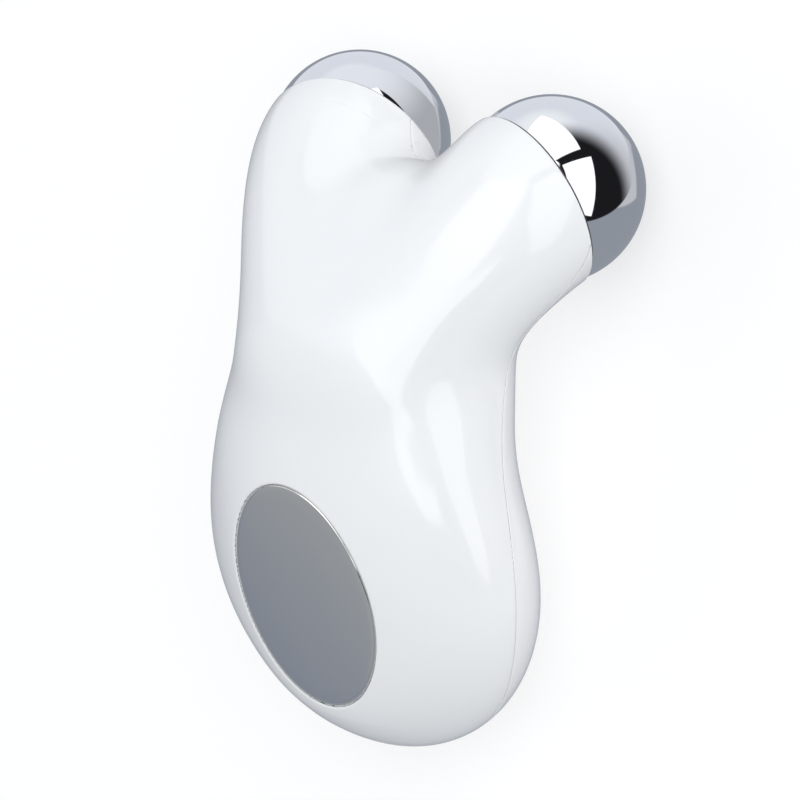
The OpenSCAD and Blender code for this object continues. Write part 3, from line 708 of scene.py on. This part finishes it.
# ---- Rear shell --------------------------------------------------------------
# The rear half, the same plastic with a slightly warmer tone, closed against the
# front shell along a fine parting line.
rear_gloss = moulded_gloss("rear_gloss", (0.85, 0.85, 0.865), (0.838, 0.838, 0.858),
                           (0.86, 0.86, 0.875))
rear_shell = add_piece("rear_shell_skin", shell_mesh("rear_shell_skin", triangles[~front], WALL),
                       "housing", rear_gloss)
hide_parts("rear_shell")
# The rear shell carries the same painted shade in its joints.
rear_shell.data.materials.append(gap_shade)

# ---- Ball electrodes ---------------------------------------------------------
# Two hollow balls, turned, plated and polished. Each is one profile spun about the
# arm's axis: the dome, its foot on the seal, the cavity and the post for its screw.
def spin_tree():
    """Geometry Nodes: spins a profile of (radius, 0, height) points about the z axis."""
    tree = bpy.data.node_groups.new("spin_profile", "GeometryNodeTree")
    for name, kind in (("Profile", "Geometry"), ("Profile points", "Int"),
                       ("Steps round", "Int"), ("Finish", "Material")):
        tree.interface.new_socket(name, in_out="INPUT", socket_type=f"NodeSocket{kind}")
    tree.interface.new_socket("Turned", in_out="OUTPUT", socket_type="NodeSocketGeometry")
    given = put(tree, "NodeGroupInput").outputs

    def math_node(operation, *values):
        return put(tree, "ShaderNodeMath", enumerate(values), operation=operation).outputs[0]

    columns = math_node("ADD", given["Steps round"], 1)
    sheet = put(tree, "GeometryNodeMeshGrid", {"Vertices X": given["Profile points"],
                                               "Vertices Y": columns})
    # The row is a point of the profile, and the column is a step round the axis.
    index = math_node("ADD", put(tree, "GeometryNodeInputIndex").outputs[0], 0.5)
    row = math_node("FLOOR", math_node("DIVIDE", index, columns))
    column = math_node("SUBTRACT", math_node("SUBTRACT", index, 0.5),
                       math_node("MULTIPLY", row, columns))
    angle = math_node("MULTIPLY", math_node("DIVIDE", column, given["Steps round"]), 2 * math.pi)
    position = put(tree, "GeometryNodeInputPosition").outputs[0]
    sample = put(tree, "GeometryNodeSampleIndex", {"Geometry": given["Profile"], "Value": position,
                                                   "Index": row}, data_type="FLOAT_VECTOR")
    parts = put(tree, "ShaderNodeSeparateXYZ", {0: sample.outputs["Value"]}).outputs
    place = put(tree, "ShaderNodeCombineXYZ", {
        "X": math_node("MULTIPLY", parts["X"], math_node("COSINE", angle)),
        "Y": math_node("MULTIPLY", parts["X"], math_node("SINE", angle)), "Z": parts["Z"]})
    moved = put(tree, "GeometryNodeSetPosition", {"Geometry": sheet.outputs["Mesh"],
                                                  "Position": place.outputs[0]})
    joined = put(tree, "GeometryNodeMergeByDistance", {"Geometry": moved.outputs[0],
                                                       "Distance": 0.0005})
    real = put(tree, "GeometryNodeRealizeInstances", {"Geometry": joined.outputs[0]})
    painted = put(tree, "GeometryNodeSetMaterial", {"Geometry": real.outputs[0],
                                                    "Material": given["Finish"]})
    put(tree, "NodeGroupOutput", {0: painted.outputs[0]})
    return tree


def spun(name, profile, steps, finish):
    """A plain mesh, in millimetres, of the profile spun by the tree."""
    base = mesh_of(name + "_profile", [(r, 0, z) for r, z in profile], [],
                   [(i, i + 1) for i in range(len(profile) - 1)])
    holder = add_object(name + "_profile", base)
    modifier = holder.modifiers.new("spin", "NODES")
    modifier.node_group = SPIN
    socket = {item.name: item.identifier for item in SPIN.interface.items_tree
              if item.in_out == "INPUT"}
    modifier[socket["Profile points"]] = len(profile)
    modifier[socket["Steps round"]] = steps
    modifier[socket["Finish"]] = finish
    evaluated = holder.evaluated_get(bpy.context.evaluated_depsgraph_get())
    mesh = bpy.data.meshes.new_from_object(evaluated)
    bpy.data.objects.remove(holder)
    return mesh


def on_rim(mesh, side):
    """Moves a spun mesh from its own axis onto the left or right arm, and lays it down."""
    p = np.empty(len(mesh.vertices) * 3)
    mesh.vertices.foreach_get("co", p)
    p = p.reshape(-1, 3)
    p = RIM_C + p[:, :1] * ARM_X + p[:, 1:2] * ARM_Y + p[:, 2:] * AXIS
    mesh.vertices.foreach_set("co", lay(p * [side, 1, 1]).ravel())
    if side < 0:
        mesh.flip_normals()
    return mesh


ARM_X, ARM_Y = section(RIM_C, SPLAY, LEAN)[1:]
SPIN = spin_tree()
# The foot's height, the post for the screw and its blind bore, from the rim's plane.
BALL_WALL, FOOT, POST_R, BORE_R, BORE_DEPTH, BALL_STEPS = 1.8, -4.4, 4, 1.23, 10, 160


def arc_points(radius, start, end, count):
    """(radius, height) points on a circle round the ball's centre."""
    return [(radius * math.cos(t), BALL_PROUD + radius * math.sin(t))
            for t in np.linspace(start, end, count)]


inside = BALL_R - BALL_WALL
dome = arc_points(BALL_R, math.pi / 2, math.asin((FOOT + 0.3 - BALL_PROUD) / BALL_R), 110)
dome[0] = (0, BALL_PROUD + BALL_R)
edge = math.sqrt(BALL_R ** 2 - (FOOT - BALL_PROUD) ** 2)
cavity = arc_points(inside, math.asin((FOOT - BALL_PROUD) / inside),
                    math.acos(POST_R / inside), 48)
profile = dome + [(edge - 0.02, FOOT + 0.08), (edge - 0.15, FOOT)] + cavity + [
    (POST_R, FOOT + 0.2), (POST_R - 0.2, FOOT), (BORE_R + 0.3, FOOT), (BORE_R, FOOT + 0.3),
    (BORE_R, FOOT + BORE_DEPTH), (0, FOOT + BORE_DEPTH)]
polished, shader = finish_of("polished_plate", (0.86, 0.865, 0.88), 0.03, 1.0)
vary(shader, "Roughness", 0.02, 0.045, 60)
for side, name in ((-1, "left"), (1, "right")):
    mesh = on_rim(spun(name + "_ball", profile, BALL_STEPS, polished), side)
    ball = add_piece(name + "_ball_plated", mesh, "housing", polished)
    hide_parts(name + "_ball")

# ---- Button cap --------------------------------------------------------------
# The large oval cap, plated and polished, with a rounded edge. It is glued to a
# carrier that slides in the front shell.
CAP_A, CAP_B, CAP_STEPS = 14.1, 20.15, 192
# Rows as (inset, height): the skirt, the rounded edge, then the slight crown.
CAP_ROWS = ((0.55, -1.4), (0.05, -1.4), (0.0, -1.3), (0.0, -0.2),
            (0.03, 0.02), (0.12, 0.17), (0.26, 0.26), (0.45, 0.3),
            (0.8, 0.312), (2, 0.33), (4, 0.36), (7, 0.39), (10, 0.4), (12.5, 0.4))
turn = 2 * math.pi * np.arange(CAP_STEPS) / CAP_STEPS
rows = []
for inset, z in CAP_ROWS:
    r = oval_radius(turn, CAP_A, CAP_B)
    r = np.where(inset < 2, r - inset, r * (1 - inset / CAP_A))
    x, v = (r * np.cos(turn))[:, None], (r * np.sin(turn))[:, None]
    rows.append(BUTTON_C + x * [1, 0, 0] + v * FACE_V + z * FACE_N)
cap_points = np.concatenate(rows)
last = len(CAP_ROWS) - 1
cap_faces = [tuple(range(CAP_STEPS))[::-1],
             tuple(last * CAP_STEPS + i for i in range(CAP_STEPS))]
for i in range(last):
    a, b = i * CAP_STEPS, (i + 1) * CAP_STEPS
    for j in range(CAP_STEPS):
        k = (j + 1) % CAP_STEPS
        cap_faces.append((a + j, a + k, b + k, b + j))
mesh = mesh_of("button_cap_plated", lay(cap_points).tolist(), cap_faces)
dark_plate, shader = finish_of("dark_plate", (0.85, 0.85, 0.81), 0.1, 1.0)
vary(shader, "Roughness", 0.09, 0.13, 40)
button_cap = add_piece("button_cap_plated", mesh, "button", dark_plate)
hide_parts("button_cap")

# ---- Ball sockets ------------------------------------------------------------
# Round plates that close the arms and carry the balls, moulded in grey-white
# nylon. They are glued to the shells; the mould's fine spark texture shows.
def dress(material, *names):
    """Puts a material on nodes carried over from the CAD."""
    for name in names:
        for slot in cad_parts[name].material_slots:
            slot.material = material


socket_nylon, shader = finish_of("socket_nylon", (0.78, 0.78, 0.76), 0.5)
vary(shader, "Base Color", (0.74, 0.74, 0.72), (0.82, 0.82, 0.80), 180)
vary(shader, "Roughness", 0.42, 0.6, 300)
grain(shader, 2600, 0.00004, 0.5)
dress(socket_nylon, "left_socket", "right_socket")

# ---- Seals -------------------------------------------------------------------
# Flat rings of black silicone rubber, punched from sheet. Each is squeezed between
# a ball's foot and its plate, and has taken a little mould powder.
seal_rubber, shader = finish_of("seal_rubber", (0.02, 0.02, 0.022), 0.75)
vary(shader, "Base Color", (0.016, 0.016, 0.018), (0.045, 0.045, 0.046), 420, 6)
vary(shader, "Roughness", 0.65, 0.88, 500)
grain(shader, 3400, 0.00003, 0.6)
dress(seal_rubber, "left_seal", "right_seal")

# ---- Terminals ---------------------------------------------------------------
# Stamped brass ring tags, lightly tarnished. The screws clamp them under the
# plates, and the leads are soldered into their tails.
tag_brass, shader = finish_of("tag_brass", (0.72, 0.52, 0.22), 0.3, 1.0)
vary(shader, "Base Color", (0.56, 0.38, 0.15), (0.80, 0.60, 0.28), 260, 5)
vary(shader, "Roughness", 0.22, 0.45, 700)
grain(shader, 5200, 0.00001, 0.4)
dress(tag_brass, "left_terminal", "right_terminal")

# ---- Electrode screws --------------------------------------------------------
# Two machine screws of zinc-plated steel. They pull the balls' feet down onto the
# seals and carry the current; the driver has left fine marks.
def turned(shader, rings, depth):
    """Fine marks from turning or rolling, as a bump of close rings."""
    wave = texture_on(shader, "Wave", {"Scale": rings, "Distortion": 1.5}, wave_type="RINGS")
    relief(shader, wave.outputs["Fac"], depth, 0.35)


zinc_steel, shader = finish_of("zinc_steel", (0.55, 0.56, 0.58), 0.3, 1.0)
vary(shader, "Base Color", (0.48, 0.49, 0.50), (0.62, 0.63, 0.66), 500)
vary(shader, "Roughness", 0.22, 0.42, 900)
turned(shader, 1500, 0.00001)
dress(zinc_steel, "electrode_screws")

# ---- Leads -------------------------------------------------------------------
# One blue and one red stranded wire in soft silicone, from the board's pads up each
# arm to the tags. The skin is satin, with faint rubbed patches.
for name, low, high in (("left_lead", (0.02, 0.06, 0.34), (0.035, 0.10, 0.45)),
                        ("right_lead", (0.42, 0.012, 0.015), (0.55, 0.022, 0.022))):
    lead_skin, shader = finish_of(name + "_silicone", low, 0.45)
    vary(shader, "Base Color", low, high, 240, 4)
    vary(shader, "Roughness", 0.38, 0.6, 600)
    grain(shader, 1800, 0.00002, 0.3)
    dress(lead_skin, name)

# ---- Button carrier ----------------------------------------------------------
# The oval frame under the cap, moulded in natural white acetal. Its skirt slides in
# the shell and its post presses the switch; the sliding faces are slightly waxy.
carrier_acetal, shader = finish_of("carrier_acetal", (0.80, 0.80, 0.78), 0.38)
vary(shader, "Base Color", (0.76, 0.76, 0.74), (0.84, 0.84, 0.82), 90)
vary(shader, "Roughness", 0.3, 0.48, 220)
shader.inputs["Subsurface Weight"].default_value = 0.05
grain(shader, 1500, 0.00003, 0.25)
dress(carrier_acetal, "button_carrier")

# ---- Switch stem -------------------------------------------------------------
# The tact switch's plunger, in hard brown-black phenolic with a polished crown
# where the carrier's post rubs it.
stem_phenolic, shader = finish_of("stem_phenolic", (0.035, 0.022, 0.018), 0.35)
vary(shader, "Base Color", (0.028, 0.018, 0.015), (0.06, 0.038, 0.03), 900)
vary(shader, "Roughness", 0.25, 0.5, 700)
dress(stem_phenolic, "switch_stem")

# ---- Switch body -------------------------------------------------------------
# The tact switch's square case, in black nylon filled with glass. It is soldered
# to the board; the glass gives a fine dry texture.
case_nylon, shader = finish_of("case_nylon", (0.022, 0.022, 0.024), 0.55)
vary(shader, "Base Color", (0.018, 0.018, 0.02), (0.04, 0.04, 0.042), 1200, 6)
vary(shader, "Roughness", 0.45, 0.7, 900)
grain(shader, 4800, 0.00002, 0.5)
dress(case_nylon, "switch_body")

# ---- Main board --------------------------------------------------------------
# A 1.6 mm glass-epoxy board under green solder mask. Copper tracks stand up under the
# mask, tinned pads break through it, and the glass weave shows faintly.
board_mask, shader = finish_of("board_mask", (0.012, 0.13, 0.05), 0.3)
tree = board_mask.node_tree
where = put(tree, "ShaderNodeTexCoord")
turned_flat = put(tree, "ShaderNodeMapping", {
    "Vector": where.outputs["Object"],
    "Rotation": (-(REST_TILT + BUTTON_TILT - math.pi / 2), 0, 0)}).outputs["Vector"]
tracks = put(tree, "ShaderNodeTexBrick", {
    "Vector": turned_flat, "Scale": 320, "Mortar Size": 0.06, "Color1": (0.010, 0.115, 0.042, 1),
    "Color2": (0.014, 0.15, 0.055, 1), "Mortar": (0.03, 0.26, 0.09, 1)}, offset=0.5, squash=0.6)
weave = put(tree, "ShaderNodeTexChecker", {"Vector": turned_flat, "Scale": 2400})
pads = put(tree, "ShaderNodeTexVoronoi", {"Vector": turned_flat, "Scale": 420})
is_pad = put(tree, "ShaderNodeMath", {0: pads.outputs["Distance"], 1: 0.16},
             operation="LESS_THAN").outputs[0]
with_pads = put(tree, "ShaderNodeMix", {"Factor": is_pad, 6: tracks.outputs["Color"],
                                        7: (0.62, 0.62, 0.60, 1)}, data_type="RGBA")
tree.links.new(with_pads.outputs[2], shader.inputs["Base Color"])
tree.links.new(is_pad, shader.inputs["Metallic"])
height = put(tree, "ShaderNodeMath", {0: weave.outputs["Fac"], 1: 0.12, 2: tracks.outputs["Fac"]},
             operation="MULTIPLY_ADD")
relief(shader, height.outputs[0], 0.00003, 0.6)
vary(shader, "Roughness", 0.22, 0.4, 160)
dress(board_mask, "main_board")

# ---- Board screws ------------------------------------------------------------
# Four small self-tapping screws of nickel-plated steel, driven through the board
# into the front shell's bosses.
screw_nickel, shader = finish_of("screw_nickel", (0.60, 0.58, 0.54), 0.28, 1.0)
vary(shader, "Base Color", (0.52, 0.50, 0.46), (0.68, 0.66, 0.62), 620)
vary(shader, "Roughness", 0.2, 0.4, 1000)
turned(shader, 1900, 0.00001)
dress(screw_nickel, "board_screws")

# ---- Control chip ------------------------------------------------------------
# The controller, in a moulded black epoxy case with the dry grain of its mould. It has
# no legs, and is soldered to the board by pads.
chip_epoxy, shader = finish_of("chip_epoxy", (0.018, 0.02, 0.02), 0.6)
vary(shader, "Base Color", (0.014, 0.016, 0.016), (0.034, 0.036, 0.036), 1600, 6)
vary(shader, "Roughness", 0.5, 0.75, 1300)
grain(shader, 6000, 0.00002, 0.6)
dress(chip_epoxy, "control_chip")

# ---- Boost coil --------------------------------------------------------------
# The boost converter's inductor, pressed from ferrite powder and soldered to the
# board. It is dark grey-brown, with the speckle of its powder.
coil_ferrite, shader = finish_of("coil_ferrite", (0.05, 0.042, 0.036), 0.6, 0.2)
vary(shader, "Base Color", (0.03, 0.026, 0.022), (0.11, 0.095, 0.08), 2600, 8)
vary(shader, "Roughness", 0.45, 0.8, 1800)
grain(shader, 4200, 0.00004, 0.6)
dress(coil_ferrite, "boost_coil")

# ---- Capacitors --------------------------------------------------------------
# Ceramic chip capacitors, fired tan bodies with a slightly glassy surface,
# soldered beside the coil.
capacitor_ceramic, shader = finish_of("capacitor_ceramic", (0.42, 0.28, 0.15), 0.45)
vary(shader, "Base Color", (0.34, 0.22, 0.11), (0.50, 0.35, 0.20), 1500, 5)
vary(shader, "Roughness", 0.35, 0.6, 1200)
grain(shader, 5200, 0.00002, 0.4)
dress(capacitor_ceramic, "capacitors")

# ---- Charge socket -----------------------------------------------------------
# The drawn steel shell of the charging receptacle behind the slot in the handle's
# end. It is nickel-plated, and soldered to the board's edge.
socket_steel, shader = finish_of("socket_steel", (0.58, 0.58, 0.57), 0.28, 1.0)
vary(shader, "Base Color", (0.50, 0.50, 0.49), (0.66, 0.66, 0.65), 380)
vary(shader, "Roughness", 0.2, 0.38, 800)
tree = socket_steel.node_tree
where = put(tree, "ShaderNodeTexCoord")
drawn = put(tree, "ShaderNodeMapping", {"Vector": where.outputs["Object"],
                                        "Scale": (9000, 300, 300)})
scratches = put(tree, "ShaderNodeTexNoise", {"Vector": drawn.outputs["Vector"], "Scale": 1})
relief(shader, scratches.outputs["Fac"], 0.00001, 0.4)
dress(socket_steel, "charge_socket")

# ---- Battery cell ------------------------------------------------------------
# A flat lithium-polymer pouch in aluminium laminate. The foil is satin blue-grey,
# with the soft creases that packing leaves.
cell_foil, shader = finish_of("cell_foil", (0.40, 0.45, 0.52), 0.35, 0.85)
vary(shader, "Base Color", (0.35, 0.40, 0.47), (0.46, 0.51, 0.58), 120)
vary(shader, "Roughness", 0.28, 0.5, 260)
creases = texture_on(shader, "Voronoi", {"Scale": 240}, feature="DISTANCE_TO_EDGE")
relief(shader, creases.outputs["Distance"], 0.00006, 0.3)
dress(cell_foil, "battery_cell")

# ---- Battery foam ------------------------------------------------------------
# A pad of open-cell foam with adhesive on one face. It keeps the cell against the
# rear shell and lets it swell.
foam_open, shader = finish_of("foam_open", (0.74, 0.70, 0.58), 0.9)
vary(shader, "Base Color", (0.60, 0.56, 0.45), (0.80, 0.77, 0.66), 900, 6)
cells = texture_on(shader, "Voronoi", {"Scale": 1800})
relief(shader, cells.outputs["Distance"], 0.0002, 0.8)
dress(foam_open, "battery_foam")

# ---- Battery plug ------------------------------------------------------------
# The two-pole crimp housing that plugs the cell into the board, in ivory nylon
# that has yellowed a little.
plug_nylon, shader = finish_of("plug_nylon", (0.74, 0.70, 0.58), 0.45)
vary(shader, "Base Color", (0.68, 0.63, 0.50), (0.79, 0.75, 0.63), 420)
vary(shader, "Roughness", 0.36, 0.58, 700)
grain(shader, 3000, 0.00002, 0.4)
dress(plug_nylon, "battery_plug")

# ---- Battery leads -----------------------------------------------------------
# The cell's thin wires in red silicone, crimped in the plug and tucked beside
# the board.
wire_skin, shader = finish_of("wire_skin", (0.45, 0.015, 0.018), 0.45)
vary(shader, "Base Color", (0.38, 0.010, 0.013), (0.52, 0.022, 0.022), 320, 4)
vary(shader, "Roughness", 0.36, 0.58, 700)
grain(shader, 2200, 0.00002, 0.3)
dress(wire_skin, "battery_leads")
